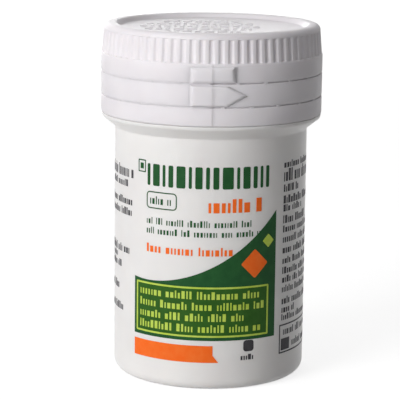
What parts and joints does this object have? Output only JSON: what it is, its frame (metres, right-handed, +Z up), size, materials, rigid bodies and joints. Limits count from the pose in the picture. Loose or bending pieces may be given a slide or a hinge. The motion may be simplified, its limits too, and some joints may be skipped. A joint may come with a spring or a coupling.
{
  "type": "tablet tub with tear-strip cap",
  "caption": "Round white tablet tub with a ribbed push-on cap, a tear-off strip with an arrow tab, a locking ring and stacked round tablets inside.",
  "frame": {"origin": "middle of the tub's flat base", "axes": "+Z up along the tub's axis, front of the print towards -Y"},
  "size_m": [0.0392, 0.0399, 0.0623],
  "materials": {
    "tub_plastic": "semi-gloss white plastic, printed in dark green, yellow-green and orange",
    "cap_plastic": "satin white moulded plastic",
    "tablet": "matt pressed powder"
  },
  "bodies": {
    "tub_body": {"tub": "tub_plastic", "lock_ring": "cap_plastic", "tear_strip": "cap_plastic", "tablet_01": "tablet", "tablet_02": "tablet", "tablet_03": "tablet", "tablet_04": "tablet", "tablet_05": "tablet", "tablet_06": "tablet", "tablet_07": "tablet", "tablet_08": "tablet", "tablet_09": "tablet", "tablet_10": "tablet", "tablet_11": "tablet", "tablet_12": "tablet", "tablet_13": "tablet", "tablet_14": "tablet", "tablet_15": "tablet", "tablet_16": "tablet", "tablet_17": "tablet", "tablet_18": "tablet", "tablet_19": "tablet", "tablet_20": "tablet", "tablet_21": "tablet", "tablet_22": "tablet", "tablet_23": "tablet", "tablet_24": "tablet"},
    "cap_body": {"cap": "cap_plastic"}
  },
  "joints": [
    {"name": "cap_lift", "type": "slide", "parent": "tub_body", "child": "cap_body", "axis": [0, 0, 1], "range_m": [0, 0.03]}
  ]
}
